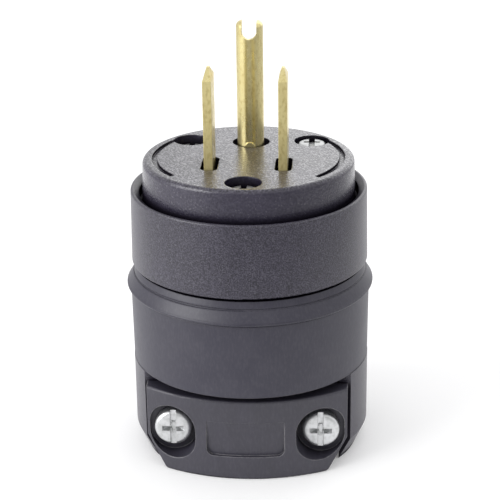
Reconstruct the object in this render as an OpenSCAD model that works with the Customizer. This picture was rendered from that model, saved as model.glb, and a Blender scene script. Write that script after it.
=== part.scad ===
// Three-blade grounding plug, standing on its cord end with the blades up.
// Millimetres. +Z runs up the plug's axis, the clamp screw heads face -Y, the ground pin is toward +Y.

/* [Blades] */
// Distance between the middle planes of the two blades
blade_spacing = 12.7; // [12.5:0.1:12.9]
// Width of a blade across its flat side
blade_width = 6.35; // [6.1:0.05:6.6]
// Thickness of a blade
blade_thick = 1.5; // [1.4:0.05:1.6]
// Height of the blade tips above the face
blade_reach = 17.2; // [16:0.1:18]
// Distance of the blades in front of the axis
blade_forward = 4.45; // [4.2:0.05:4.6]
// Length of the tapered end of a blade
blade_tip_length = 1.8; // [1.4:0.1:2.4]
// Thickness left at the very end of a blade
blade_tip_thick = 0.4; // [0.3:0.1:0.8]
// How far each corner of a blade's end is cut back
blade_tip_inset = 2.6; // [2:0.1:2.8]

/* [Ground pin] */
// Outer diameter of the ground pin
pin_d = 4.75; // [4.6:0.05:4.85]
// Distance from the blades' line to the ground pin
pin_offset = 11.9; // [11.7:0.1:12.1]
// Height of the ground pin above the face
pin_reach = 22.3; // [21:0.1:23]
// Thickness of the strip that the ground pin is rolled from
pin_wall = 0.95; // [0.8:0.05:1.1]
// Width of the open seam along the back of the ground pin
pin_seam = 2.7; // [2:0.1:2.8]
// Width of the notch in the end of the ground pin
notch_width = 2.6; // [2.2:0.1:2.8]
// Depth of the notch in the end of the ground pin
notch_depth = 2.9; // [2.2:0.1:3.4]
// Rounding of the ground pin's end
pin_tip_round = 1; // [0.7:0.1:1.2]
// Radius of the pressed bump at the foot of the ground pin
pin_bump_r = 0.9; // [0.6:0.1:1.1]
// How far the pressed bump stands out
pin_bump_out = 0.3; // [0.2:0.05:0.4]

/* [Face] */
// Height of the face above the cord end
face_height = 53.4; // [52.6:0.1:55]
// Diameter of the face
face_d = 37; // [36.6:0.1:37.2]
// Rounding of the face's rim
face_round = 0.8; // [0.3:0.1:0.9]
// How much the face's side widens down to its seat, each side
face_draft = 0.25; // [0:0.05:0.4]
// Thickness of the face
face_plate = 4; // [3.8:0.1:4.4]
// Depth of the seat below the face
seat_depth = 9; // [8.6:0.2:9.6]
// Thickness of the skirt below the face
skirt_wall = 2.2; // [1.8:0.1:2.3]
// Gap along each flat side of a blade in its slot
slot_side_gap = 0.7; // [0.5:0.05:1]
// Gap at each end of a blade in its slot
slot_end_gap = 0.45; // [0.3:0.05:0.6]
// Corner radius of the blade slots
slot_corner = 0.95; // [0.5:0.05:1.1]
// Gap beside the ground pin in its hole, where it stands against the front
pin_gap = 0.95; // [0.7:0.05:1.1]
// Width of the arc grooves in the face
groove_width = 1; // [0.6:0.1:1.2]
// Depth of the arc grooves in the face
groove_depth = 0.5; // [0.2:0.1:0.8]
// Distance of the arc grooves inside the rim
groove_inset = 1.65; // [1.4:0.05:1.9]
// Angle below the sideways line at which the arc grooves end
groove_end_angle = 42; // [25:1:50]

/* [Face screws] */
// Distance of the face screws' middles inside the rim
face_screw_inset = 4.35; // [4.2:0.05:4.6]
// Angle of the two rear face screws from the sideways line
face_screw_angle = 40; // [36:1:44]
// Diameter of a face screw's head
face_head_d = 4.9; // [4.5:0.1:5.1]
// Gap round a face screw's head in its well
face_well_gap = 0.7; // [0.5:0.05:0.9]
// Height of a face screw's head
face_head_height = 1.9; // [1.5:0.1:2.1]
// Diameter of a face screw's shank
face_shank_d = 3; // [2.6:0.1:3.2]
// Length of a face screw below its head
face_screw_length = 17; // [14:1:20]
// Depth of the front screw's head below the face
front_screw_sink = 1.4; // [0.6:0.1:2]
// Depth of the right screw's head below the face
right_screw_sink = 0.2; // [0.1:0.1:2]
// Depth of the left screw's head below the face
left_screw_sink = 1.5; // [0.6:0.1:2]
// Wall of a screw boss round its well
boss_wall = 0.7; // [0.6:0.05:0.9]

/* [Body] */
// Height of the face above the collar
collar_drop = 5.25; // [4.8:0.05:5.5]
// Height of the collar
collar_height = 13.1; // [12.4:0.1:13.8]
// Thickness of the collar's rim
collar_wall = 1.5; // [1.4:0.05:1.7]
// How much the collar widens down to its lower edge, each side
collar_draft = 0.2; // [0:0.05:0.3]
// Rounding of the collar's edges
collar_round = 0.3; // [0.2:0.1:0.4]
// Width of the open ring between face and collar
rim_gap = 0.75; // [0.6:0.05:0.9]
// Depth of the open ring between face and collar
rim_gap_depth = 2.5; // [1.5:0.1:3]
// Width of the flat left on top of the collar's rim, its rounding included
rim_land = 0.5; // [0.45:0.05:0.8]
// How far the collar's rim slopes down towards the face
rim_slope_drop = 0.7; // [0.5:0.1:1]
// How far the collar stands out from the waist under the sleeve
collar_step = 1.3; // [1:0.05:1.5]
// Wall of the waist
waist_wall = 3; // [2.6:0.1:3.2]
// How far the cheeks stand out from the waist
cheek_step = 1.75; // [1.5:0.05:1.8]
// Distance between the inner faces of the cheeks
cheek_span = 32.4; // [32.2:0.1:33]
// Length of a cheek from front to back
cheek_length = 21.6; // [21:0.2:22]
// Height at which the cheeks start to taper
cheek_slope_height = 4; // [3.4:0.1:4.6]
// How far the cheeks taper in at their foot
cheek_foot_inset = 1.8; // [1.4:0.1:2.2]
// Width of the ring that the clamp lips rest on
throat_ledge = 1.8; // [1.6:0.1:2.2]
// Height of the ring that the clamp lips rest on
throat_height = 3; // [2.5:0.1:3.5]
// Height of the ring that the contact carrier sits on
carrier_seat_height = 4; // [3:0.2:5]
// Depth of the contact carrier's seat below the face's seat
carrier_drop = 1; // [0.6:0.1:1.4]
// Gap between the contact carrier and the face's skirt
carrier_gap = 1.4; // [1:0.1:1.6]
// Overlap of the contact carrier on its seat
carrier_seat = 1; // [0.8:0.1:1.2]
// Gap between the contact carrier and the screw bosses
boss_gap = 0.3; // [0.2:0.05:0.4]
// Diameter of a pillar that a face screw bites into
pillar_d = 7.2; // [6.8:0.1:7.4]
// Room between the pillars and the clamp lips
pillar_room = 4.8; // [3:0.2:6]

/* [Sleeve] */
// Gap between the sleeve and the collar
sleeve_gap = 0.6; // [0.3:0.1:0.8]
// Wall of the sleeve at its lower edge
sleeve_bottom_wall = 1.7; // [1.6:0.05:1.9]
// Wall of the sleeve just under its flange
sleeve_top_wall = 1.85; // [1.8:0.05:2.1]
// How far the flange stands out from the waist
flange_step = 2.5; // [2.3:0.05:2.7]
// Height of the sleeve's neck above the flange
sleeve_neck_height = 1.35; // [1.1:0.05:1.6]
// Wall of the sleeve's neck at its upper edge
sleeve_neck_wall = 0.85; // [0.7:0.05:1]
// Wall of the sleeve's neck where the flange starts
neck_foot_wall = 1.25; // [1.1:0.05:1.4]
// Height of the flange from its neck to its lower edge
flange_height = 2.6; // [2.2:0.1:2.8]
// Rounding of the flange's edge
flange_round = 0.35; // [0.2:0.05:0.5]
// Radius of the fine grooves above and below the flange
neck_line_r = 0.2; // [0.1:0.05:0.35]

/* [Cord clamps] */
// Height of the clamps
clamp_height = 15.15; // [14.8:0.05:15.5]
// Gap between the clamps and the body above them
body_gap = 1.75; // [1.5:0.05:2]
// How far a clamp's outer plate laps over each cheek
clamp_lap = 1.5; // [1.35:0.05:1.6]
// Distance of a clamp's outer face from the axis
clamp_reach = 19.1; // [18.8:0.1:19.4]
// Radius of a clamp's outer face
clamp_face_r = 30.3; // [29.5:0.1:31.5]
// Rounding of a clamp's upper and lower outer edges
clamp_round = 0.4; // [0.2:0.1:0.6]
// How far each lower corner of a clamp is cut back
foot_inset = 3.5; // [3.2:0.1:3.8]
// Rounding of a clamp's lower corners
foot_round = 1.2; // [0.8:0.1:2]
// Height at which a clamp's lower corners start to slope
clamp_slope_height = 5.8; // [5.4:0.1:6.2]
// Gap between the clamps and the cheeks
clamp_gap = 0.4; // [0.2:0.05:0.5]
// Gap between the two clamps
clamp_part_gap = 1.6; // [1:0.1:2]
// Diameter of the cord that the clamps hold
cord_d = 10; // [9:0.1:11]
// Number of gripping grooves in the cord's path
grip_count = 3; // [2:1:4]
// Width of a gripping groove
grip_width = 1.2; // [0.8:0.1:1.6]
// Depth of a gripping groove
grip_depth = 0.6; // [0.3:0.1:0.8]
// Gap between a clamp's neck and the body's throat
neck_gap = 0.4; // [0.2:0.1:0.6]
// Wall of a clamp's neck
clamp_neck_wall = 3; // [2.5:0.1:3.2]
// How far a clamp's lip reaches over the throat's edge
lip_overlap = 1.2; // [0.9:0.1:1.3]
// Thickness of a clamp's lip
lip_thick = 1.8; // [1.4:0.1:2.2]
// Width of the bare panel let into the front clamp
panel_width = 13.6; // [12:0.1:14]
// Height of the panel
panel_height = 6.6; // [6:0.1:7]
// Height of the panel's lower edge
panel_bottom = 4.4; // [4:0.1:5]
// Depth of the panel at its lower edge
panel_depth = 0.75; // [0.7:0.05:1]
// Slope of the panel's floor in degrees
panel_slope = 5; // [3:0.5:5]
// Rounding of the panel's lower corners
panel_round = 1.2; // [0.6:0.1:2]

/* [Clamp screws] */
// Distance of a clamp screw from the side of its clamp
clamp_screw_inset = 4.7; // [4.65:0.05:4.9]
// Height of the clamp screws
clamp_screw_height = 7.65; // [7.6:0.05:8]
// Diameter of a clamp screw's head
clamp_head_d = 6.7; // [6.2:0.1:7.2]
// Height of a clamp screw's head
clamp_head_height = 2.2; // [1.8:0.1:2.5]
// Depth of a clamp screw's head below the middle of the clamp's outer face
clamp_head_sink = 4.1; // [3.8:0.1:4.6]
// Diameter of a clamp screw's shank
clamp_shank_d = 3.8; // [3.5:0.1:4]
// Gap beside a clamp screw's head in its well
well_side_gap = 0.85; // [0.6:0.05:0.9]
// Gap above and below a clamp screw's head in its well
well_end_gap = 1.65; // [1.2:0.05:1.8]
// Width of a clamp nut across its flats
nut_flats = 7.1; // [6.8:0.1:7.2]
// Thickness of a clamp nut
nut_thick = 2.7; // [2.4:0.1:2.9]
// Depth of the clamp nuts' seats below the middle of the clamp's outer face
nut_sink = 7.4; // [7.2:0.1:7.6]

/* [Terminals] */
// Extra width on each side of the shoulders trapped under the face
shoulder_side = 1.5; // [1:0.1:1.6]
// Height of the shoulders trapped under the face
shoulder_height = 2; // [1.6:0.1:2.4]
// Length of the terminal tails below the carrier's plate
tail_length = 7; // [6.6:0.1:7.6]
// Width of the ground pin's tail
ground_tail_width = 7; // [6.6:0.1:7.4]
// Thickness of the ground pin's tail
ground_tail_thick = 1.2; // [1:0.1:1.4]
// Distance of a terminal screw below the carrier's plate
terminal_drop = 3.6; // [3.5:0.05:3.8]
// Diameter of a terminal screw's head
terminal_head_d = 6; // [5.6:0.1:6.4]
// Height of a terminal screw's head
terminal_head_height = 1.9; // [1.6:0.1:2.2]
// Diameter of a terminal screw's shank
terminal_shank_d = 3.4; // [3:0.1:3.6]
// Length of a terminal screw below its head
terminal_screw_length = 5; // [4.5:0.1:5.5]
// Side of a square wire plate
wire_plate_side = 6.8; // [6.4:0.1:6.8]
// Thickness of a wire plate
wire_plate_thick = 1.4; // [1.2:0.1:1.6]
// Length of the carrier's hub below its plate
hub_length = 8; // [7.8:0.1:9]
// Distance of the hub's front face from the axis
hub_front = 8.5; // [8:0.1:9]

/* [Fits] */
// Gap round pieces that slide into one another
slide_gap = 0.1; // [0.05:0.05:0.2]
// Gap round a screw in a plain hole
screw_gap = 0.2; // [0.1:0.05:0.3]
// Gap between a screw's shank and its thread
thread_gap = 0.02; // [0:0.01:0.04]
// Width of the slot in the screw heads
drive_width = 1.1; // [1.05:0.05:1.2]
// Width of the cross in the screw heads
cross_width = 0.95; // [0.8:0.05:1]
// Depth of the slot in the screw heads
slot_depth = 0.8; // [0.5:0.1:1]
// Depth of the cross in the screw heads
cross_depth = 1.3; // [1:0.1:1.4]
// Length of the cross as a share of the head's diameter
cross_share = 0.62; // [0.5:0.02:0.7]
// Rounding of the screw heads as a share of their height
head_round_share = 0.4; // [0.2:0.05:0.45]

/* [Hidden] */
$fn = 96;
// Small overlap of solids that are joined
eps = 0.01;
// How far cuts run past the faces that they open
past = 1;

face_r = face_d / 2;
seat_z = face_height - seat_depth;
plate_bottom = face_height - face_plate;
skirt_r = face_r + face_draft;
skirt_inner_r = skirt_r - skirt_wall;
face_screw_r = face_r - face_screw_inset;
face_well_d = face_head_d + 2 * face_well_gap;
boss_r = face_well_d / 2 + boss_wall;
groove_r = face_r - groove_inset - groove_width;

collar_top = face_height - collar_drop;
collar_bottom = collar_top - collar_height;
collar_bore_r = face_r + rim_gap;
collar_r = collar_bore_r + collar_wall;
waist_r = collar_r - collar_step;
cavity_r = waist_r - waist_wall;
cheek_r = waist_r + cheek_step;
body_bottom = clamp_height + body_gap;
throat_r = cavity_r - throat_ledge;
throat_top = body_bottom + throat_height;
carrier_z = seat_z - carrier_drop;
carrier_r = skirt_inner_r - carrier_gap;
carrier_seat_r = carrier_r - carrier_seat;
pillar_bottom = throat_top + lip_thick + pillar_room;

sleeve_top = collar_bottom - sleeve_gap;
flange_top = sleeve_top - sleeve_neck_height;
flange_bottom = flange_top - flange_height;
flange_r = waist_r + flange_step;

pin_r = pin_d / 2;
pin_y = pin_offset - blade_forward;
pin_top = face_height + pin_reach;
blade_x = blade_spacing / 2;
blade_top = face_height + blade_reach;
shoulder_z = plate_bottom - shoulder_height;
tail_bottom = carrier_z - tail_length;
terminal_z = carrier_z - terminal_drop;
hub_half = blade_x - blade_thick / 2;
hub_back = pin_y - ground_tail_thick;

clamp_width = cheek_span + 2 * clamp_lap;
clamp_foot = clamp_width - 2 * foot_inset;
clamp_slope = atan2(clamp_slope_height, foot_inset);
clamp_inner_half = cheek_span / 2 - clamp_gap;
clamp_plate_back = cheek_length / 2 + clamp_gap;
clamp_neck_r = throat_r - neck_gap;
clamp_lip_r = throat_r + lip_overlap;
clamp_screw_x = clamp_width / 2 - clamp_screw_inset;
clamp_seat_y = clamp_reach - clamp_head_sink - clamp_head_height;
nut_reach = clamp_reach - nut_sink;
clamp_screw_length = clamp_seat_y + nut_reach + nut_thick;
nut_r = nut_flats / 2 / cos(30);

// Face screws as angle round the axis and depth of the head below the face
face_screw_places = [
    [-90, front_screw_sink],
    [face_screw_angle, right_screw_sink],
    [180 - face_screw_angle, left_screw_sink]
];

nylon = [0.16, 0.16, 0.18];
rubber = [0.13, 0.13, 0.15];
brass = [0.80, 0.70, 0.42];
zinc = [0.78, 0.79, 0.80];
green = [0.20, 0.45, 0.25];

// Half section of a round band with both outer edges rounded, wider by the draft at its lower edge
module rounded_band(r, low, high, edge, draft = 0) {
    low_r = r + draft;
    polygon([
        [0, low], [low_r - edge, low], [low_r, low + edge],
        [r, high - edge], [r - edge, high], [0, high]
    ]);
    translate([low_r - edge, low + edge])
        circle(edge);
    translate([r - edge, high - edge])
        circle(edge);
}

// Rectangle with rounded corners, centred
module rounded_rectangle(width, height, corner) {
    square([width - 2 * corner, height], center = true);
    square([width, height - 2 * corner], center = true);
    for (x = [-1, 1], y = [-1, 1])
        translate([x * (width / 2 - corner), y * (height / 2 - corner)])
            circle(corner);
}

// Bar of a drawn outline (first axis Y, second axis Z), thick along X
module along_x(thick) {
    rotate([90, 0, 90])
        linear_extrude(thick, center = true)
            children();
}

// Bar of a drawn outline (first axis X, second axis Z), thick along Y
module along_y(thick) {
    rotate([90, 0, 0])
        linear_extrude(thick, center = true)
            children();
}

// Screw with its head up, the head's underside at zero, with a slot and a cross
module screw(head_d, head_height, shank_d, length) {
    edge = head_height * head_round_share;
    cross_length = head_d * cross_share;
    difference() {
        union() {
            rotate_extrude()
                difference() {
                    rounded_band(head_d / 2, -edge, head_height, edge);
                    translate([0, -2 * edge])
                        square([head_d, 2 * edge]);
                }
            translate([0, 0, -length])
                cylinder(d = shank_d, h = length + eps);
        }
        translate([0, 0, head_height])
            cube([drive_width, head_d + past, 2 * slot_depth], center = true);
        for (turn = [0, 90])
            translate([0, 0, head_height])
                rotate([0, 0, turn])
                    cube([cross_length, cross_width, 2 * cross_depth], center = true);
    }
}

// Places its children at each face screw, turned towards the axis, and hands over angle and head depth
module at_face_screws() {
    for (place = face_screw_places) {
        $angle = place[0];
        $sink = place[1];
        rotate([0, 0, $angle])
            translate([face_screw_r, 0, 0])
                rotate([0, 0, 180])
                    children();
    }
}

module front_face() {
    color(nylon)
        difference() {
            union() {
                rotate_extrude() {
                    polygon([
                        [0, plate_bottom], [skirt_inner_r, plate_bottom], [skirt_inner_r, seat_z],
                        [skirt_r, seat_z], [face_r, face_height - face_round],
                        [face_r - face_round, face_height], [0, face_height]
                    ]);
                    translate([face_r - face_round, face_height - face_round])
                        circle(face_round);
                }
                at_face_screws()
                    translate([0, 0, seat_z])
                        cylinder(r = boss_r, h = seat_depth - face_round);
            }
            for (side = [-1, 1])
                translate([side * blade_x, -blade_forward, plate_bottom - past])
                    linear_extrude(face_plate + 2 * past)
                        rounded_rectangle(blade_thick + 2 * slot_side_gap,
                                          blade_width + 2 * slot_end_gap, slot_corner);
            translate([0, pin_y + pin_gap - slide_gap, plate_bottom - past])
                cylinder(r = pin_r + pin_gap, h = face_plate + 2 * past);
            translate([-pin_bump_r - slide_gap, pin_y - pin_r - pin_bump_out - slide_gap, plate_bottom - past])
                cube([2 * (pin_bump_r + slide_gap), pin_r, face_plate + 2 * past]);
            at_face_screws() {
                translate([0, 0, face_height - $sink - face_head_height])
                    cylinder(d = face_well_d, h = seat_depth);
                translate([0, 0, seat_z - past])
                    cylinder(r = face_shank_d / 2 + screw_gap, h = seat_depth);
            }
            for (start = [-groove_end_angle, 180 - face_screw_angle])
                rotate([0, 0, start])
                    rotate_extrude(angle = groove_end_angle + face_screw_angle)
                        translate([groove_r, face_height - groove_depth])
                            square([groove_width, 2 * groove_depth]);
        }
}

module contact_carrier() {
    color(nylon)
        difference() {
            union() {
                translate([0, 0, carrier_z])
                    cylinder(r = carrier_r, h = plate_bottom - carrier_z);
                translate([-hub_half, -hub_front, carrier_z - hub_length])
                    cube([2 * hub_half, hub_front + hub_back, hub_length + past]);
            }
            at_face_screws()
                translate([0, 0, carrier_z - past])
                    cylinder(r = boss_r + boss_gap, h = seat_depth);
            for (side = [-1, 1])
                translate([side * blade_x, -blade_forward, 0]) {
                    translate([0, 0, plate_bottom])
                        cube([blade_thick + 2 * slide_gap, blade_width + 2 * (shoulder_side + slide_gap),
                              2 * shoulder_height], center = true);
                    translate([0, 0, carrier_z])
                        cube([blade_thick + 2 * slide_gap, blade_width + 2 * slide_gap,
                              2 * seat_depth], center = true);
                    translate([0, 0, terminal_z])
                        rotate([0, 90, 0])
                            cylinder(r = terminal_shank_d / 2 + screw_gap, h = 2 * terminal_screw_length,
                                     center = true);
                }
            translate([0, pin_y, carrier_z - past])
                cylinder(r = pin_r + slide_gap, h = seat_depth);
            translate([0, pin_y, shoulder_z])
                cylinder(r = pin_r + shoulder_side + slide_gap, h = seat_depth);
            translate([0, hub_back, terminal_z])
                rotate([90, 0, 0])
                    cylinder(r = terminal_shank_d / 2 + screw_gap, h = 2 * terminal_screw_length,
                             center = true);
        }
}

// Half section of the body above the cheeks
module shell_section() {
    difference() {
        union() {
            translate([0, body_bottom])
                square([waist_r, collar_bottom + collar_round - body_bottom]);
            rounded_band(collar_r, collar_bottom, collar_top, collar_round, collar_draft);
        }
        translate([0, body_bottom - past])
            square([throat_r, throat_height + 2 * past]);
        translate([0, throat_top])
            square([cavity_r, carrier_z - carrier_seat_height - throat_top]);
        translate([0, throat_top])
            square([carrier_seat_r, carrier_z - throat_top + past]);
        translate([0, carrier_z])
            square([cavity_r, seat_z - carrier_z + past]);
        translate([0, seat_z])
            square([skirt_r + slide_gap, collar_top]);
        translate([0, collar_top - rim_gap_depth])
            square([collar_bore_r, collar_top]);
        polygon([
            [0, collar_top - rim_slope_drop], [collar_bore_r, collar_top - rim_slope_drop],
            [collar_r - rim_land, collar_top], [collar_r - rim_land, collar_top + past],
            [0, collar_top + past]
        ]);
    }
}

module body_shell() {
    color(nylon)
        difference() {
            union() {
                rotate_extrude()
                    shell_section();
                intersection() {
                    rotate_extrude()
                        polygon([
                            [0, 0], [cheek_r - cheek_foot_inset, 0], [cheek_r, cheek_slope_height],
                            [cheek_r, body_bottom], [waist_r, body_bottom], [waist_r, throat_top],
                            [0, throat_top]
                        ]);
                    for (side = [-1, 1])
                        translate([side * (cheek_span / 2 + cheek_r), 0, 0])
                            cube([2 * cheek_r, cheek_length, 4 * body_bottom], center = true);
                }
                intersection() {
                    at_face_screws()
                        translate([0, 0, pillar_bottom])
                            cylinder(d = pillar_d, h = seat_z - pillar_bottom);
                    cylinder(r = waist_r - eps, h = face_height);
                }
            }
            at_face_screws()
                translate([0, 0, face_height - $sink - face_head_height - face_screw_length])
                    cylinder(r = face_shank_d / 2 + thread_gap, h = face_height);
        }
}

module rubber_sleeve() {
    neck_foot_r = waist_r + neck_foot_wall;
    color(rubber)
        rotate_extrude()
            difference() {
                union() {
                    polygon([
                        [0, body_bottom], [waist_r + sleeve_bottom_wall, body_bottom],
                        [waist_r + sleeve_top_wall, flange_bottom], [flange_r - flange_round, flange_bottom],
                        [flange_r, flange_bottom + flange_round], [neck_foot_r, flange_top],
                        [waist_r + sleeve_neck_wall, sleeve_top], [0, sleeve_top]
                    ]);
                    translate([flange_r - flange_round, flange_bottom + flange_round])
                        circle(flange_round);
                }
                for (corner = [[neck_foot_r, flange_top], [waist_r + sleeve_top_wall, flange_bottom]])
                    translate(corner)
                        circle(neck_line_r);
                square([waist_r, 2 * sleeve_top]);
            }
}

// Outline of a clamp seen from the front
module clamp_outline() {
    side = clamp_width / 2;
    top = clamp_height + past;
    cut = foot_round * tan(clamp_slope / 2);
    flat = clamp_foot / 2 - cut;
    bend_x = clamp_foot / 2 + cut * cos(clamp_slope);
    bend_z = cut * sin(clamp_slope);
    polygon([
        [-flat, 0], [flat, 0], [bend_x, bend_z], [side, clamp_slope_height], [side, top],
        [-side, top], [-side, clamp_slope_height], [-bend_x, bend_z]
    ]);
    for (x = [-flat, flat])
        translate([x, foot_round])
            circle(foot_round);
}

// Clamp half in front of the axis, without its screw wells
module clamp_half() {
    difference() {
        union() {
            intersection() {
                union() {
                    translate([-clamp_width / 2, -2 * clamp_reach, 0])
                        cube([clamp_width, 2 * clamp_reach - clamp_plate_back, clamp_height]);
                    translate([-clamp_inner_half, -2 * clamp_reach, 0])
                        cube([2 * clamp_inner_half, 2 * clamp_reach - clamp_part_gap / 2, clamp_height]);
                }
                translate([0, clamp_face_r - clamp_reach, 0])
                    rotate_extrude($fn = 192)
                        rounded_band(clamp_face_r, 0, clamp_height, clamp_round);
                along_y(4 * clamp_reach)
                    clamp_outline();
            }
            difference() {
                union() {
                    translate([0, 0, clamp_height - past])
                        cylinder(r = clamp_neck_r, h = throat_top - clamp_height + past + eps);
                    translate([0, 0, throat_top])
                        cylinder(r = clamp_lip_r, h = lip_thick);
                }
                translate([0, 0, clamp_height])
                    cylinder(r = clamp_neck_r - clamp_neck_wall, h = clamp_height);
                translate([-clamp_reach, -clamp_part_gap / 2, 0])
                    cube([2 * clamp_reach, clamp_reach, 2 * clamp_height]);
            }
        }
        translate([0, 0, -past])
            cylinder(d = cord_d, h = clamp_height + 2 * past);
        for (i = [1 : grip_count])
            translate([0, 0, i * clamp_height / (grip_count + 1) - grip_width / 2])
                cylinder(r = cord_d / 2 + grip_depth, h = grip_width);
        for (side = [-1, 1])
            translate([side * clamp_screw_x, 0, clamp_screw_height])
                rotate([90, 0, 0])
                    cylinder(r = clamp_shank_d / 2 + screw_gap, h = 4 * clamp_reach, center = true);
    }
}

module front_clamp() {
    well_width = clamp_head_d + 2 * well_side_gap;
    well_rise = well_end_gap - well_side_gap;
    color(nylon)
        difference() {
            clamp_half();
            for (side = [-1, 1])
                translate([side * clamp_screw_x, -clamp_seat_y - clamp_reach, clamp_screw_height])
                    along_y(2 * clamp_reach) {
                        square([well_width, 2 * well_rise], center = true);
                        for (z = [-well_rise, well_rise])
                            translate([0, z])
                                circle(d = well_width);
                    }
            difference() {
                translate([0, -clamp_reach, panel_bottom])
                    along_y(2 * clamp_reach) {
                        translate([-panel_width / 2, panel_round])
                            square([panel_width, panel_height - panel_round]);
                        translate([panel_round - panel_width / 2, 0])
                            square([panel_width - 2 * panel_round, panel_height]);
                        for (side = [-1, 1])
                            translate([side * (panel_width / 2 - panel_round), panel_round])
                                circle(panel_round);
                    }
                translate([0, clamp_face_r - clamp_reach + panel_depth, panel_bottom])
                    rotate([panel_slope, 0, 0])
                        cylinder(r = clamp_face_r, h = 4 * clamp_height, center = true, $fn = 192);
            }
        }
}

module rear_clamp() {
    color(nylon)
        difference() {
            mirror([0, 1, 0])
                clamp_half();
            for (side = [-1, 1])
                translate([side * clamp_screw_x, nut_reach, clamp_screw_height])
                    rotate([-90, 30, 0])
                        cylinder(r = nut_r + slide_gap, h = clamp_reach, $fn = 6);
        }
}

module clamp_screws() {
    color(zinc)
        for (side = [-1, 1])
            translate([side * clamp_screw_x, -clamp_seat_y, clamp_screw_height])
                rotate([90, 0, 0])
                    screw(clamp_head_d, clamp_head_height, clamp_shank_d, clamp_screw_length);
}

module clamp_nuts() {
    color(zinc)
        for (side = [-1, 1])
            translate([side * clamp_screw_x, nut_reach, clamp_screw_height])
                rotate([-90, 30, 0])
                    difference() {
                        cylinder(r = nut_r, h = nut_thick, $fn = 6);
                        translate([0, 0, -past])
                            cylinder(r = clamp_shank_d / 2 + thread_gap, h = nut_thick + 2 * past);
                    }
}

module face_screws() {
    color(zinc)
        at_face_screws()
            translate([0, 0, face_height - $sink - face_head_height])
                rotate([0, 0, 180 - $angle])
                    screw(face_head_d, face_head_height, face_shank_d, face_screw_length);
}

// Blade with its shoulder and terminal tail, in the plane of the axis
module blade() {
    half = blade_width / 2;
    shoulder_half = half + shoulder_side;
    tip_z = blade_top - blade_tip_length;
    difference() {
        intersection() {
            along_x(2 * blade_thick)
                polygon([
                    [-half, tail_bottom], [half, tail_bottom],
                    [half, shoulder_z], [shoulder_half, shoulder_z],
                    [shoulder_half, plate_bottom], [half, plate_bottom],
                    [half, tip_z], [half - blade_tip_inset, blade_top],
                    [blade_tip_inset - half, blade_top], [-half, tip_z],
                    [-half, plate_bottom], [-shoulder_half, plate_bottom],
                    [-shoulder_half, shoulder_z], [-half, shoulder_z]
                ]);
            along_y(4 * blade_width)
                polygon([
                    [-blade_thick / 2, tail_bottom], [blade_thick / 2, tail_bottom],
                    [blade_thick / 2, tip_z], [blade_tip_thick / 2, blade_top],
                    [-blade_tip_thick / 2, blade_top], [-blade_thick / 2, tip_z]
                ]);
        }
        translate([0, 0, terminal_z])
            rotate([0, 90, 0])
                cylinder(r = terminal_shank_d / 2 + thread_gap, h = 4 * blade_thick, center = true);
    }
}

module hot_blade() {
    color(brass)
        translate([blade_x, -blade_forward, 0])
            blade();
}

module neutral_blade() {
    color(brass)
        translate([-blade_x, -blade_forward, 0])
            blade();
}

module ground_pin() {
    notch_r = notch_width / 2;
    notch_z = pin_top - notch_depth + notch_r;
    color(brass)
        difference() {
            union() {
                translate([0, pin_y, 0])
                    rotate_extrude()
                        intersection() {
                            rounded_band(pin_r, carrier_z - 2 * pin_tip_round, pin_top, pin_tip_round);
                            translate([0, carrier_z - eps])
                                square([pin_r, pin_top]);
                        }
                translate([0, pin_y, shoulder_z])
                    cylinder(r = pin_r + shoulder_side, h = shoulder_height);
                translate([-ground_tail_width / 2, hub_back, tail_bottom])
                    cube([ground_tail_width, ground_tail_thick, tail_length]);
                translate([0, pin_y - pin_r - pin_bump_out, face_height])
                    rotate([-90, 0, 0])
                        cylinder(r = pin_bump_r, h = pin_bump_out + pin_wall);
            }
            translate([0, pin_y, plate_bottom])
                cylinder(r = pin_r - pin_wall, h = pin_top);
            translate([-pin_seam / 2, pin_y, plate_bottom])
                cube([pin_seam, 2 * pin_r, pin_top]);
            translate([-notch_r, pin_y - 2 * pin_r, notch_z])
                cube([notch_width, 2 * pin_r, pin_top]);
            translate([0, pin_y, notch_z])
                rotate([90, 0, 0])
                    cylinder(r = notch_r, h = 2 * pin_r);
            translate([0, hub_back, terminal_z])
                rotate([90, 0, 0])
                    cylinder(r = terminal_shank_d / 2 + thread_gap, h = 4 * ground_tail_thick, center = true);
        }
}

// Terminal screw with its head up, on a wire plate that starts at zero
module terminal_screw() {
    translate([0, 0, wire_plate_thick])
        screw(terminal_head_d, terminal_head_height, terminal_shank_d, terminal_screw_length);
}

// Wire plate that starts at zero
module wire_plate() {
    difference() {
        translate([0, 0, wire_plate_thick / 2])
            cube([wire_plate_side, wire_plate_side, wire_plate_thick], center = true);
        translate([0, 0, -past])
            cylinder(r = terminal_shank_d / 2 + screw_gap, h = wire_plate_thick + 2 * past);
    }
}

// Turns a piece that points up so that it points away from a blade's outer face
module at_blade_terminal(side) {
    translate([side * (blade_x + blade_thick / 2), -blade_forward, terminal_z])
        rotate([0, side * 90, 0])
            children();
}

// Turns a piece that points up so that it points away from the ground tail
module at_ground_terminal() {
    translate([0, pin_y, terminal_z])
        rotate([-90, 0, 0])
            children();
}

module hot_terminal_screw() {
    color(brass)
        at_blade_terminal(1)
            terminal_screw();
}

module neutral_terminal_screw() {
    color(zinc)
        at_blade_terminal(-1)
            terminal_screw();
}

module ground_terminal_screw() {
    color(green)
        at_ground_terminal()
            terminal_screw();
}

module hot_wire_plate() {
    color(brass)
        at_blade_terminal(1)
            wire_plate();
}

module neutral_wire_plate() {
    color(zinc)
        at_blade_terminal(-1)
            wire_plate();
}

module ground_wire_plate() {
    color(brass)
        at_ground_terminal()
            wire_plate();
}

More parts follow.
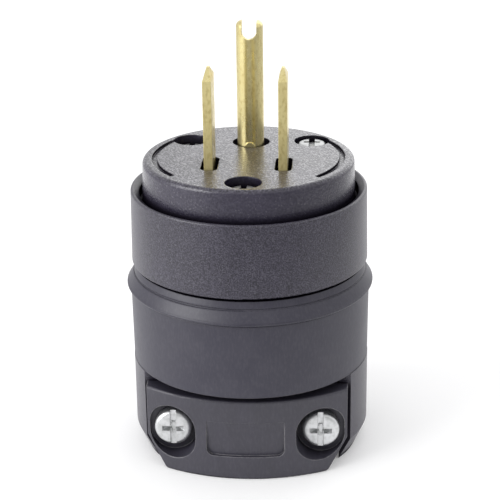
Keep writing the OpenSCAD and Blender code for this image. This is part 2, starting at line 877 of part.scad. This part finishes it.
front_face();
contact_carrier();
body_shell();
rubber_sleeve();
front_clamp();
rear_clamp();
clamp_screws();
clamp_nuts();
face_screws();
hot_blade();
neutral_blade();
ground_pin();
hot_terminal_screw();
neutral_terminal_screw();
ground_terminal_screw();
hot_wire_plate();
neutral_wire_plate();
ground_wire_plate();
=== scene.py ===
"""Looks of the rubber blade plug: finishes, screws and nuts, a plain studio and the photograph's view."""

import math

import bmesh
import bpy
from mathutils import Matrix, Vector


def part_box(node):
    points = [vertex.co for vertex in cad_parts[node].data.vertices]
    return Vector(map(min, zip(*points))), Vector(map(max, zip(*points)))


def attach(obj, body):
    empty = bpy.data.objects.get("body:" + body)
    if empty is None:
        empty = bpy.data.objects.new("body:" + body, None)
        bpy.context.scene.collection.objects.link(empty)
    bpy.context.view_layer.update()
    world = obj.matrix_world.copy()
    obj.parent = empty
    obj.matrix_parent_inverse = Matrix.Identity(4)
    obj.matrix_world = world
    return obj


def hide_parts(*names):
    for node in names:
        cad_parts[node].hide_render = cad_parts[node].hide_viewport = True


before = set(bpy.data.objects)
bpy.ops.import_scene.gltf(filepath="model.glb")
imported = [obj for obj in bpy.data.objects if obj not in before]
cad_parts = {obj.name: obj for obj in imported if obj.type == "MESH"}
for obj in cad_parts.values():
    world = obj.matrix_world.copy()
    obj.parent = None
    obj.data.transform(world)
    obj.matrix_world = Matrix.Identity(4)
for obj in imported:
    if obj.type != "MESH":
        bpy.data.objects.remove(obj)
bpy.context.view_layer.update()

MM = 0.001

# The photograph's view, fitted to the blades, the pin and the rims
VIEW_ELEVATION = 21.481
VIEW_TURN = 3.731
VIEW_ROLL = 0.795
VIEW_DISTANCE = 281.149 * MM
VIEW_TARGET = Vector((0.061, 0.0, 35.798)) * MM
FOCAL_PIXELS = 1575.879
PICTURE_PIXELS = 500
SENSOR_WIDTH = 36.0

# Screws and nuts: the solids' heads, shanks and places, with added edges, slots, crosses and threads
CLAMP_HEAD_HEIGHT = 2.2 * MM
CLAMP_HEAD_EDGE = 0.85 * MM
CLAMP_SHANK_D = 3.8 * MM
CLAMP_PITCH = 0.8 * MM
FACE_HEAD_D = 4.9 * MM
FACE_HEAD_HEIGHT = 1.9 * MM
FACE_HEAD_EDGE = 0.45 * MM
FACE_SHANK_D = 3.0 * MM
FACE_SCREW_LENGTH = 17.0 * MM
FACE_PITCH = 1.1 * MM
FACE_SCREW_R = 14.15 * MM
FACE_SCREW_ANGLE = 40.0
FRONT_SCREW_SINK = 1.4 * MM
RIGHT_SCREW_SINK = 0.2 * MM
LEFT_SCREW_SINK = 1.5 * MM
SUNK_HEAD_RISE = 0.3 * MM  # added to the two sunk heads, so that they show in their wells
SLOT_WIDTH = 1.1 * MM
SLOT_DEPTH = 0.8 * MM
SLOT_FLOOR_SHARE = 0.92  # of the slot's width
CROSS_WIDTH = 0.95 * MM
CROSS_DEPTH = 1.3 * MM
CROSS_SHARE = 0.62  # of the head's radius
CROSS_FLOOR_WIDTH_SHARE = 0.64
CROSS_FLOOR_ARM_SHARE = 0.36
THREAD_DEPTH_SHARE = 0.55  # of the pitch
THREAD_ROWS = 6  # loops for each turn of a thread
EDGE_STEPS = 6  # loops round a head's edge
NUT_LAND_SHARE = 0.96  # of the distance from the nut's axis to a flat
NUT_CHAMFER_ANGLE = math.radians(30)
SPOKES = 48
SHARP_ANGLE = math.radians(32)

# Mouldings: roundings, the height up to which the cheeks face the clamps and get painted shade, and how
# glossy the skin is
RIM_ROUND = 0.3 * MM
SOFT_ROUND = 0.35 * MM
CHEEK_HEIGHT = 15 * MM
SKIN_SPECULAR = 0.65
UPRIGHT_STRETCH = (1.0, 1.0, 0.35)

# The floor: its half side, and the distances over which the white sheet and the table's painted light and
# shade fade
FLOOR_HALF = 6.0
SHEET_HALF = 110 * MM
SHEET_HALF_FADED = 150 * MM
SHEET_FRONT = -65 * MM
SHEET_FRONT_FADED = -115 * MM
TABLE_HALF = 120 * MM
FRONT_SHADE_START = -70 * MM
FRONT_SHADE_END = -170 * MM
FLOOR_TURN = math.radians(14)

# Colours, as linear red, green and blue
FACE_BLACK = (0.028, 0.024, 0.044)
BODY_BLACK = (0.027, 0.023, 0.043)
CLAMP_BLACK = (0.029, 0.027, 0.040)
RUBBER_BLACK = (0.019, 0.017, 0.034)
WEAR_DUST_AND_GLINT_GREY = (0.170, 0.166, 0.182)
RUBBED_EDGE_HIGHLIGHT = (0.280, 0.275, 0.290)
NICK_GREY = (0.480, 0.475, 0.490)
# Dull black for painted shade in gaps, and for the dark pits of the grain
GAP_SHADE_AND_PIT_BLACK = (0.006, 0.005, 0.008)
PALE_BRASS = (0.780, 0.685, 0.350)
DULL_BRASS = (0.575, 0.478, 0.212)
BRIGHT_ZINC = (0.690, 0.695, 0.705)
AGED_ZINC = (0.500, 0.505, 0.510)
DULL_AND_SHADED_ZINC = (0.320, 0.340, 0.320)
GREEN_PLATE = (0.055, 0.240, 0.085)
WORN_GREEN = (0.160, 0.340, 0.180)
SHEET_WHITE = (0.860, 0.860, 0.865)
# Painted light and shade on the floor: the table lit lighter to the left, shaded darker to the right and
# in front, and the sheet's painted glow
TABLE_LEFT_LIT = (0.740, 0.740, 0.745)
TABLE_RIGHT_SHADED = (0.560, 0.560, 0.565)
FRONT_SHADE_GREY = (0.390, 0.390, 0.395)
SHEET_GLOW = (0.160, 0.160, 0.160)
WHITE = (1.0, 1.0, 1.0)
BLACK = (0.0, 0.0, 0.0)


class Wire:
    """A shader socket that takes part in Python expressions; each operator adds a Math node."""

    def __init__(self, finish, socket):
        self.finish = finish
        self.socket = socket

    def _math(self, operation, first, second):
        return self.finish.node("ShaderNodeMath", {"operation": operation}, {0: first, 1: second})

    def __add__(self, other):
        return self._math("ADD", self, other)

    def __radd__(self, other):
        return self._math("ADD", other, self)

    def __sub__(self, other):
        return self._math("SUBTRACT", self, other)

    def __rsub__(self, other):
        return self._math("SUBTRACT", other, self)

    def __mul__(self, other):
        return self._math("MULTIPLY", self, other)

    def __rmul__(self, other):
        return self._math("MULTIPLY", other, self)


class Finish:
    """A tree of shader nodes, for a material or for the world."""

    def __init__(self, owner):
        owner.use_nodes = True
        self.owner = owner
        self.tree = owner.node_tree

    def node(self, kind, settings=None, inputs=None, output=0):
        """Adds a node, sets it up, then fills or links its sockets."""
        made = self.tree.nodes.new(kind)
        for key, value in (settings or {}).items():
            setattr(made, key, value)
        for key, value in (inputs or {}).items():
            self.join(value, made.inputs[key])
        return Wire(self, made.outputs[output])

    def join(self, value, socket):
        """Links a wire to a socket, or writes a plain value on it."""
        if isinstance(value, Wire):
            self.tree.links.new(value.socket, socket)
        elif socket.type == "RGBA":
            socket.default_value = (*value, 1.0)
        else:
            socket.default_value = value

    def place(self, stretch=(1.0, 1.0, 1.0)):
        """Position in the plug's own frame, with each axis stretched."""
        spot = self.node("ShaderNodeTexCoord", output="Object")
        return self.node("ShaderNodeVectorMath", {"operation": "MULTIPLY"}, {0: spot, 1: stretch})

    def noise(self, size, detail=2.0, stretch=(1.0, 1.0, 1.0)):
        """Soft random values round a half, in blotches of about the given size."""
        inputs = {"Vector": self.place(stretch), "Scale": 1 / size, "Detail": detail}
        return self.node("ShaderNodeTexNoise", inputs=inputs)

    def ease(self, value, low, high, start=0.0, end=1.0):
        """Goes smoothly from start to end while the value goes from low to high."""
        inputs = {"Value": value, "From Min": low, "From Max": high, "To Min": start, "To Max": end}
        return self.node("ShaderNodeMapRange", {"interpolation_type": "SMOOTHSTEP"}, inputs)

    def blend(self, mask, under, over):
        """Mixes two colours."""
        return self.node("ShaderNodeMix", {"data_type": "RGBA"}, {0: mask, 6: under, 7: over}, 2)

    def axis(self, vector, letter):
        """One component of a vector."""
        return self.node("ShaderNodeSeparateXYZ", inputs={0: vector}, output=letter)

    def facing(self, letter):
        """How far the surface faces along an axis of the plug's own frame, from -1 to 1."""
        return self.axis(self.node("ShaderNodeTexCoord", output="Normal"), letter)

    def rounded(self, radius):
        """The surface's normal with its edges rounded over."""
        return self.node("ShaderNodeBevel", {"samples": 6}, {"Radius": radius})

    def edges(self, radius):
        """Near 0 on flats and rising where the surface turns sharply within the radius."""
        straight = self.node("ShaderNodeNewGeometry", output="Normal")
        inputs = {0: self.rounded(radius), 1: straight}
        return 1 - self.node("ShaderNodeVectorMath", {"operation": "DOT_PRODUCT"}, inputs, "Value")

    def crevice(self, reach):
        """Near 0 on open surfaces and towards 1 in gaps and hollows narrower than the reach."""
        return 1 - self.node("ShaderNodeAmbientOcclusion", {"samples": 8}, {"Distance": reach}, "AO")

    def relief(self, height, depth, normal):
        """A normal that shows the height as raised and sunk places of the given depth."""
        inputs = {"Height": height, "Distance": depth, "Normal": normal}
        return self.node("ShaderNodeBump", inputs=inputs)

    def surface(self, **sockets):
        """Fills the principled shader's sockets, named with underscores for spaces."""
        shader = self.tree.nodes["Principled BSDF"]
        for name, value in sockets.items():
            self.join(value, shader.inputs[name.replace("_", " ")])
        return self.owner

    def paint_shade(self, mask):
        """Paints shade, turning the surface to a dull black where the mask is 1."""
        clean = Wire(self, self.tree.nodes["Principled BSDF"].outputs[0])
        black = self.node("ShaderNodeBsdfDiffuse", inputs={"Color": GAP_SHADE_AND_PIT_BLACK})
        mixed = self.node("ShaderNodeMixShader", inputs={0: mask, 1: clean, 2: black})
        self.join(mixed, self.tree.nodes["Material Output"].inputs["Surface"])


def new_finish(name):
    """An empty material to build a finish in."""
    return Finish(bpy.data.materials.new(name))


def lightened(colour, share):
    """A colour made lighter in all its channels."""
    return tuple(share * channel for channel in colour)


def scuffs(finish):
    """A mask of faint upright scuffs."""
    return finish.ease(finish.noise(0.35 * MM, 2.0, UPRIGHT_STRETCH), 0.40, 0.75, 0.0, 0.07)


def moulded_nylon(
    name, black, grain_size, grain_fleck_and_glint, grain_shine, wall_grain, gloss_roughness, gap_reach
):
    """Grained black moulding with pale flecks that are partly painted glints, rubbed and nicked along its
    edges, and painted shade in its gaps.
    """
    finish = new_finish(name)
    grain = finish.noise(grain_size, 3.0)
    cloud = finish.noise(7 * MM, 3.0)
    edge = finish.ease(finish.edges(RIM_ROUND), 0.03, 0.40)
    rubbed = 0.4 * edge * finish.ease(finish.noise(1.5 * MM, 3.0), 0.35, 0.65)
    nicked = edge * finish.ease(finish.noise(0.4 * MM, 2.0), 0.62, 0.70)

    # Painted shade: gaps are dark, though less so on level floors, and the cheeks' faces towards the
    # clamps are painted as dark as a gap
    level = finish.ease(finish.facing("Z"), 0.3, 0.9)
    gap_shade = finish.ease(finish.crevice(gap_reach), 0.20, 0.65, 0.0, 0.95) * (1 - 0.4 * level)
    height = finish.axis(finish.place(), "Z")
    low = finish.ease(height, CHEEK_HEIGHT - MM, CHEEK_HEIGHT + MM, 0.9, 0.0)
    cheek_end_shade = low * finish.ease(finish.facing("Y") * finish.facing("Y"), 0.80, 0.95)
    finish.paint_shade(1 - (1 - gap_shade) * (1 - cheek_end_shade))

    # The grain is at full strength on level faces, and wall_grain is its share on upright ones
    strength = wall_grain + (1 - wall_grain) * level
    tone = finish.blend(finish.ease(cloud, 0.3, 0.7), black, lightened(black, 1.22))
    # Pale flecks on the grain: partly the grain's own tone, partly painted glints of the grain
    fleck_and_glint = strength * finish.ease(grain, 0.45, 0.70, 0.0, grain_fleck_and_glint)
    pit = strength * finish.ease(grain, 0.34, 0.56, 0.8, 0.0)
    grained = finish.blend(pit, finish.blend(fleck_and_glint, tone, WEAR_DUST_AND_GLINT_GREY), GAP_SHADE_AND_PIT_BLACK)
    worn = finish.blend(rubbed, grained, WEAR_DUST_AND_GLINT_GREY)
    return finish.surface(
        Base_Color=finish.blend(nicked, worn, NICK_GREY),
        Roughness=gloss_roughness + 0.30 * (grain - 0.5) + 0.10 * (cloud - 0.5),
        Specular_IOR_Level=SKIN_SPECULAR,
        Coat_Weight=finish.ease(0.5 + strength * (grain - 0.5), 0.46, 0.64, 0.0, grain_shine),
        Coat_Roughness=0.25,
        Normal=finish.relief(grain, 0.2 * grain_size, finish.rounded(RIM_ROUND)),
    )


def smooth_nylon(name, black):
    """Smooth black moulding with a satin skin, faint flow marks, pale rubbed edges that are partly
    painted highlight, and painted shade in its gaps.
    """
    finish = new_finish(name)
    flow = finish.noise(3 * MM, 3.0, UPRIGHT_STRETCH)
    fine = finish.noise(0.6 * MM, 2.0)
    # Pale edges: rubbed wear, and partly a painted edge highlight
    edge = finish.ease(finish.edges(SOFT_ROUND), 0.03, 0.35)
    rubbed = edge * finish.ease(finish.noise(1.2 * MM, 3.0), 0.25, 0.55)
    # Painted shade: gaps and hollows turn dull black
    finish.paint_shade(finish.ease(finish.crevice(2.5 * MM), 0.40, 0.95, 0.0, 0.85))
    tone = finish.blend(finish.ease(flow, 0.3, 0.7), black, lightened(black, 1.18))
    scuffed = finish.blend(scuffs(finish), tone, WEAR_DUST_AND_GLINT_GREY)
    return finish.surface(
        Base_Color=finish.blend(rubbed, scuffed, RUBBED_EDGE_HIGHLIGHT),
        Roughness=0.40 + 0.14 * (flow - 0.5) + 0.06 * (fine - 0.5),
        Specular_IOR_Level=SKIN_SPECULAR,
        Normal=finish.relief(fine, 0.012 * MM, finish.rounded(SOFT_ROUND)),
    )


def sleeve_rubber(name):
    """Soft black rubber, dull, with a faint dusty bloom, rubbed edges, and painted shade in its gaps."""
    finish = new_finish(name)
    bloom = finish.noise(5 * MM, 4.0)
    fine = finish.noise(0.5 * MM, 2.0)
    rubbed = finish.ease(finish.edges(SOFT_ROUND), 0.03, 0.45, 0.0, 0.5) * finish.ease(bloom, 0.3, 0.6)
    dust = finish.ease(bloom, 0.35, 0.75, 0.0, 0.06) + rubbed + scuffs(finish)
    # Painted shade: gaps turn dull black
    finish.paint_shade(finish.ease(finish.crevice(2 * MM), 0.40, 0.85, 0.0, 0.95))
    return finish.surface(
        Base_Color=finish.blend(dust, RUBBER_BLACK, WEAR_DUST_AND_GLINT_GREY),
        Roughness=0.43 + 0.16 * (bloom - 0.5) + 0.08 * (fine - 0.5),
        Specular_IOR_Level=SKIN_SPECULAR,
        Normal=finish.relief(fine, 0.010 * MM, finish.rounded(SOFT_ROUND)),
    )


def rolled_brass(name, shear_roughness):
    """Pale rolled brass with drawing lines up its length, dull patches and spots, sheared edges, and pale
    edges that are worn and partly painted highlight.
    """
    finish = new_finish(name)
    lines = finish.noise(0.25 * MM, 2.0, (1.0, 1.0, 0.04))
    patch = finish.noise(2.5 * MM, 4.0, (1.0, 1.0, 0.6))
    dull = finish.ease(patch, 0.40, 0.80, 0.0, 0.55)
    spots = finish.ease(finish.noise(0.5 * MM, 3.0, (1.0, 1.0, 0.5)), 0.45, 0.70, 0.0, 0.65)
    # Edges lose their dullness: rubbed clean, and partly a painted edge highlight
    rub_and_highlight = finish.ease(finish.edges(0.2 * MM), 0.05, 0.40)
    sheared = finish.ease(finish.facing("Y") * finish.facing("Y"), 0.6, 0.9, 0.0, shear_roughness)
    return finish.surface(
        Base_Color=finish.blend((dull + spots) * (1 - rub_and_highlight), PALE_BRASS, DULL_BRASS),
        Metallic=1.0,
        Roughness=0.27 + 0.16 * dull + 0.12 * spots + 0.14 * (lines - 0.5) + sheared,
        Normal=finish.relief(lines, 0.006 * MM, finish.rounded(0.15 * MM)),
    )


def zinc_plate(name, bright):
    """Zinc plating with a fine crystal bloom, and painted shade that dulls its hollows."""
    finish = new_finish(name)
    bloom = finish.noise(0.8 * MM, 3.0)
    fine = finish.noise(0.15 * MM, 2.0)
    # Painted shade: hollows such as the slot and cross turn dull and dark
    hollow_shade = finish.ease(finish.crevice(0.8 * MM), 0.40, 0.85)
    dull = finish.ease(bloom, 0.35, 0.75, 0.0, 0.4) + 0.6 * hollow_shade
    return finish.surface(
        Base_Color=finish.blend(dull, bright, DULL_AND_SHADED_ZINC),
        Metallic=0.9,
        Roughness=0.34 + 0.16 * dull + 0.10 * (fine - 0.5),
        Normal=finish.relief(fine, 0.006 * MM, finish.rounded(0.12 * MM)),
    )


def green_plate(name):
    """Green dyed plating, worn through along its edges."""
    finish = new_finish(name)
    bloom = finish.noise(0.9 * MM, 3.0)
    worn = finish.ease(finish.edges(0.2 * MM), 0.05, 0.40)
    return finish.surface(
        Base_Color=finish.blend(worn, GREEN_PLATE, WORN_GREEN),
        Metallic=0.6,
        Roughness=0.34 + 0.20 * (bloom - 0.5),
        Normal=finish.relief(bloom, 0.006 * MM, finish.rounded(0.12 * MM)),
    )


def skinned(name, loops, bored=False):
    """A closed mesh through loops of points from top to bottom, each counter-clockwise from above."""
    shape = bmesh.new()
    rows = [[shape.verts.new(point) for point in loop] for loop in loops]
    pairs = list(zip(rows, rows[1:]))
    if bored:
        pairs.append((rows[-1], rows[0]))
    else:
        shape.faces.new(rows[0])
        shape.faces.new(reversed(rows[-1]))
    for upper, lower in pairs:
        for here in range(len(upper)):
            shape.faces.new((upper[here - 1], lower[here - 1], lower[here], upper[here]))
    mesh = bpy.data.meshes.new(name)
    shape.to_mesh(mesh)
    shape.free()
    return mesh


def ring(height, radius_at):
    """A loop of points round the Z axis, with a radius for each angle."""
    angles = [math.tau * spoke / SPOKES for spoke in range(SPOKES)]
    return [(radius_at(a) * math.cos(a), radius_at(a) * math.sin(a), height) for a in angles]


def round_ring(height, radius):
    """A plain round loop."""
    return ring(height, lambda angle: radius)


def head_loops(head_d, height, edge):
    """A pan head with a rounded edge, from its slightly crowned top down to its underside at zero."""
    flat = head_d / 2 - edge
    crown = 0.06 * height
    chamfer = 0.05 * height
    shares = (0.2, 0.4, 0.6, 0.8, 1.0)
    loops = [round_ring(height - crown * share ** 2, flat * share) for share in shares]
    for step in range(1, EDGE_STEPS + 1):
        turn = math.radians(90) * step / EDGE_STEPS
        drop = crown + edge * (1 - math.cos(turn))
        loops.append(round_ring(height - drop, flat + edge * math.sin(turn)))
    loops.append(round_ring(chamfer, head_d / 2))
    loops.append(round_ring(0.0, head_d / 2 - chamfer))
    return loops


def thread_loops(shank_d, length, pitch):
    """A threaded shank below zero, with its thread run out at the head and chamfered at the tip."""
    rows = round(THREAD_ROWS * length / pitch)
    depth = THREAD_DEPTH_SHARE * pitch
    root = shank_d / 2 - depth

    def radius_at(angle, down):
        # One ridge in each pitch, with a flat crest, sloped flanks and a flat root
        phase = (down / pitch + angle / math.tau) % 1.0
        ridge = min(1.0, max(0.0, 1.25 - 1.5 * abs(2 * phase - 1)))
        full = root + depth * ridge * min(1.0, down / pitch)
        return min(full, root + length - down)

    downs = [length * row / rows for row in range(rows + 1)]
    return [ring(-down, lambda angle: radius_at(angle, down)) for down in downs]


def slot_loop(half_width, half_length, height):
    """The four corners of a slot along Y."""
    corners = ((half_width, -half_length), (half_width, half_length))
    return [(x, y, height) for x, y in (*corners, *((-x, -y) for x, y in corners))]


def cross_loop(half_width, half_length, height):
    """The twelve corners of a cross."""
    corners = [(half_length, -half_width), (half_length, half_width), (half_width, half_width)]
    loop = []
    for _ in range(4):
        loop += [(x, y, height) for x, y in corners]
        corners = [(-y, x) for x, y in corners]
    return loop


def carved(blank, cutters):
    """The blank mesh with the cutter meshes taken out of it."""
    blank_part, *cutter_parts = [bpy.data.objects.new(mesh.name, mesh) for mesh in (blank, *cutters)]
    for part in (blank_part, *cutter_parts):
        bpy.context.collection.objects.link(part)
    for part in cutter_parts:
        cut = blank_part.modifiers.new("cut", "BOOLEAN")
        cut.object = part
        cut.solver = "EXACT"
    finished = blank_part.evaluated_get(bpy.context.evaluated_depsgraph_get())
    mesh = bpy.data.meshes.new_from_object(finished)
    for part in (blank_part, *cutter_parts):
        bpy.data.objects.remove(part)
    return mesh


def screw_mesh(head_d, head_height, head_edge, shank_d, length, pitch):
    """A screw with its head up and the head's underside at zero, a slot along Y and a tapered cross."""
    head = head_loops(head_d, head_height, head_edge)
    blank = skinned("screw", head + thread_loops(shank_d, length, pitch))
    above = head_height + SLOT_DEPTH
    slot_floor = head_height - SLOT_DEPTH
    cross_floor = head_height - CROSS_DEPTH
    arm = CROSS_SHARE * head_d / 2
    slot = skinned("slot", [
        slot_loop(SLOT_WIDTH / 2, head_d, above),
        slot_loop(SLOT_FLOOR_SHARE * SLOT_WIDTH / 2, head_d, slot_floor),
    ])
    cross = skinned("cross", [
        cross_loop(CROSS_WIDTH / 2, arm, above),
        cross_loop(CROSS_WIDTH / 2, arm, head_height),
        cross_loop(CROSS_FLOOR_WIDTH_SHARE * CROSS_WIDTH / 2, CROSS_FLOOR_ARM_SHARE * arm, cross_floor),
    ])
    return carved(blank, [slot, cross])


def nut_mesh(flats, thick, bore_r):
    """A hexagon nut from zero up, with flats facing along X, chamfered corners and a countersunk bore."""
    half = flats / 2
    land = NUT_LAND_SHARE * half
    sixth = math.tau / 6
    chamfer = 0.06 * thick

    def hexagon(angle):
        return half / math.cos((angle + sixth / 2) % sixth - sixth / 2)

    def corner_drop(angle):
        return (hexagon(angle) - land) * math.tan(NUT_CHAMFER_ANGLE)

    def shoulder(top, way):
        return [(x, y, top - way * corner_drop(math.atan2(y, x))) for x, y, _ in ring(0.0, hexagon)]

    return skinned("nut", [
        round_ring(thick - chamfer, bore_r),
        round_ring(thick, bore_r + chamfer),
        round_ring(thick, land),
        shoulder(thick, 1),
        shoulder(0.0, -1),
        round_ring(0.0, land),
        round_ring(0.0, bore_r + chamfer),
        round_ring(chamfer, bore_r),
    ], bored=True)


def set_of(name, parts, node_name, finish):
    """One piece made of meshes at their places, which stands for a CAD node."""
    shape = bmesh.new()
    for mesh, place in parts:
        copy = mesh.copy()
        copy.transform(place)
        shape.from_mesh(copy)
        bpy.data.meshes.remove(copy)
    for face in shape.faces:
        face.smooth = True
    joined = bpy.data.meshes.new(name)
    shape.to_mesh(joined)
    shape.free()
    joined.set_sharp_from_angle(angle=SHARP_ANGLE)
    joined.materials.append(finish)
    piece = bpy.data.objects.new(name, joined)
    bpy.context.collection.objects.link(piece)
    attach(piece, "root")
    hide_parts(node_name)


def fit_clamp_screws(finish):
    """Threaded clamp screws, heads to the front."""
    low, high = (Vector(corner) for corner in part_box("clamp_screws"))
    head_r = (high.z - low.z) / 2
    seat = low.y + CLAMP_HEAD_HEIGHT
    length = high.y - seat
    mesh = screw_mesh(2 * head_r, CLAMP_HEAD_HEIGHT, CLAMP_HEAD_EDGE, CLAMP_SHANK_D, length, CLAMP_PITCH)
    to_front = Matrix.Rotation(math.radians(90), 4, "X")
    spots = [Vector((side * (high.x - head_r), seat, (low.z + high.z) / 2)) for side in (-1, 1)]
    parts = [(mesh, Matrix.Translation(spot) @ to_front) for spot in spots]
    set_of("clamp_screws_threaded", parts, "clamp_screws", finish)


def fit_clamp_nuts(finish):
    """Chamfered clamp nuts in the rear clamp's pockets."""
    low, high = (Vector(corner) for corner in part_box("clamp_nuts"))
    flats = (high.z - low.z) * math.cos(math.radians(30))
    mesh = nut_mesh(flats, high.y - low.y, CLAMP_SHANK_D / 2)
    to_back = Matrix.Rotation(math.radians(-90), 4, "X")
    spots = [Vector((side * (high.x - flats / 2), low.y, (low.z + high.z) / 2)) for side in (-1, 1)]
    parts = [(mesh, Matrix.Translation(spot) @ to_back) for spot in spots]
    set_of("clamp_nuts_chamfered", parts, "clamp_nuts", finish)


def fit_face_screws(finish):
    """Threaded face screws on their wells' floors, slots to the front, sunk heads a little taller."""
    face_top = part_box("front_face")[1][2]
    parts = []
    for angle, sink, rise in (
        (-90.0, FRONT_SCREW_SINK, SUNK_HEAD_RISE),
        (FACE_SCREW_ANGLE, RIGHT_SCREW_SINK, 0.0),
        (180.0 - FACE_SCREW_ANGLE, LEFT_SCREW_SINK, SUNK_HEAD_RISE),
    ):
        head = (FACE_HEAD_D, FACE_HEAD_HEIGHT + rise, FACE_HEAD_EDGE)
        mesh = screw_mesh(*head, FACE_SHANK_D, FACE_SCREW_LENGTH, FACE_PITCH)
        turn = math.radians(angle)
        seat = face_top - sink - FACE_HEAD_HEIGHT
        spot = (FACE_SCREW_R * math.cos(turn), FACE_SCREW_R * math.sin(turn), seat)
        parts.append((mesh, Matrix.Translation(spot)))
    set_of("face_screws_threaded", parts, "face_screws", finish)


def dress(finish, *node_names):
    """Gives a finish to CAD nodes."""
    for name in node_names:
        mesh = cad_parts[name].data
        mesh.materials.clear()
        mesh.materials.append(finish)


def place_camera():
    """Stands the camera where the photograph was taken from."""
    high, turn, roll = (math.radians(angle) for angle in (VIEW_ELEVATION, VIEW_TURN, VIEW_ROLL))
    away = Vector((math.cos(high) * math.sin(turn), -math.cos(high) * math.cos(turn), math.sin(high)))
    right = Vector((0.0, 0.0, 1.0)).cross(away).normalized()
    up = away.cross(right)
    across = math.cos(roll) * right - math.sin(roll) * up
    upright = math.sin(roll) * right + math.cos(roll) * up
    camera = bpy.data.objects.new("camera", bpy.data.cameras.new("camera"))
    camera.data.sensor_width = SENSOR_WIDTH
    camera.data.lens = SENSOR_WIDTH * FOCAL_PIXELS / PICTURE_PIXELS
    camera.data.clip_start = 5 * MM
    turned = Matrix((across, upright, away)).transposed().to_4x4()
    camera.matrix_world = Matrix.Translation(VIEW_TARGET + VIEW_DISTANCE * away) @ turned
    bpy.context.collection.objects.link(camera)
    bpy.context.scene.camera = camera


def lay_floor():
    """A white sheet under and behind the plug on a pale grey table, with painted light and shade: lighter
    to the left, darker in front and to the right, and a painted glow on the sheet.
    """
    mesh = bpy.data.meshes.new("floor")
    signs = ((-1, -1), (1, -1), (1, 1), (-1, 1))
    corners = [(x * FLOOR_HALF, y * FLOOR_HALF, 0.0) for x, y in signs]
    mesh.from_pydata(corners, [], [(0, 1, 2, 3)])
    floor = bpy.data.objects.new("floor", mesh)
    bpy.context.collection.objects.link(floor)
    table = new_finish("floor_sheet")
    across = table.axis(table.place(), "X")
    along = table.axis(table.place(), "Y")
    ahead = math.cos(FLOOR_TURN) * along - math.sin(FLOOR_TURN) * across
    inside = table.ease(across * across, SHEET_HALF ** 2, SHEET_HALF_FADED ** 2, 1.0, 0.0)
    sheet = inside * table.ease(ahead, SHEET_FRONT_FADED, SHEET_FRONT)
    # Painted light and shade: the table lighter to the left, darker to the right and in front
    side = table.blend(table.ease(across, -TABLE_HALF, TABLE_HALF), TABLE_LEFT_LIT, TABLE_RIGHT_SHADED)
    bare = table.blend(table.ease(ahead, FRONT_SHADE_END, FRONT_SHADE_START), FRONT_SHADE_GREY, side)
    # Painted glow: the white sheet glows for camera, glossy and transmission rays
    seen = table.node("ShaderNodeLightPath", output="Is Camera Ray")
    glossy = table.node("ShaderNodeLightPath", output="Is Glossy Ray")
    through = table.node("ShaderNodeLightPath", output="Is Transmission Ray")
    sheet_glow_mask = sheet * (seen + glossy + through)
    table.surface(
        Base_Color=table.blend(sheet, bare, SHEET_WHITE),
        Roughness=0.9,
        Specular_IOR_Level=0.1,
        Emission_Color=table.blend(sheet_glow_mask, BLACK, SHEET_GLOW),
        Emission_Strength=1.0,
    )
    floor.data.materials.append(table.owner)


def light_studio():
    """White walls all round, darker low down in front, and two large soft lamps."""
    world = bpy.data.worlds.new("studio")
    bpy.context.scene.world = world
    walls = Finish(world)
    heading = walls.node("ShaderNodeTexCoord", output="Generated")
    front = walls.ease(walls.axis(heading, "Y"), -0.9, 0.1, 1.0, 0.0)
    dark = front * walls.ease(walls.axis(heading, "Z"), 0.15, 0.50, 0.5, 0.0)
    shade = walls.blend(dark, WHITE, BLACK)
    walls.join(shade, walls.tree.nodes["Background"].inputs["Color"])
    for name, spot, size, power in (
        ("left_lamp", Vector((-0.62, -0.36, 0.30)), 0.56, 4.0),
        ("back_lamp", Vector((0.29, 0.765, 0.42)), 0.9, 2.0),
    ):
        lamp = bpy.data.objects.new(name, bpy.data.lights.new(name, "AREA"))
        lamp.data.size = size
        lamp.data.energy = power
        lamp.location = spot
        lamp.rotation_euler = (VIEW_TARGET - spot).to_track_quat("-Z", "Y").to_euler()
        lamp.visible_camera = False
        bpy.context.collection.objects.link(lamp)


bpy.context.scene.view_settings.view_transform = "Standard"
place_camera()
lay_floor()
light_studio()

face_nylon = moulded_nylon(
    "face_nylon", FACE_BLACK, grain_size=0.36 * MM, grain_fleck_and_glint=0.12, grain_shine=0.85,
    wall_grain=0.35, gloss_roughness=0.22, gap_reach=4 * MM
)
body_nylon = moulded_nylon(
    "body_nylon", BODY_BLACK, grain_size=0.22 * MM, grain_fleck_and_glint=0.28, grain_shine=0.20,
    wall_grain=1.0, gloss_roughness=0.36, gap_reach=1.5 * MM
)
dress(face_nylon, "front_face")
dress(body_nylon, "body_shell")
dress(smooth_nylon("clamp_nylon", CLAMP_BLACK), "front_clamp", "rear_clamp", "contact_carrier")
dress(sleeve_rubber("sleeve_rubber"), "rubber_sleeve")
blade_brass = rolled_brass("blade_brass", 0.25)
dress(blade_brass, "hot_blade", "neutral_blade")
dress(blade_brass, "hot_terminal_screw", "hot_wire_plate", "ground_wire_plate")
dress(rolled_brass("pin_brass", 0.0), "ground_pin")
zinc = zinc_plate("zinc_steel", BRIGHT_ZINC)
dress(zinc, "neutral_terminal_screw", "neutral_wire_plate")
dress(green_plate("green_steel"), "ground_terminal_screw")
fit_clamp_screws(zinc)
fit_clamp_nuts(zinc)
fit_face_screws(zinc_plate("aged_zinc", AGED_ZINC))
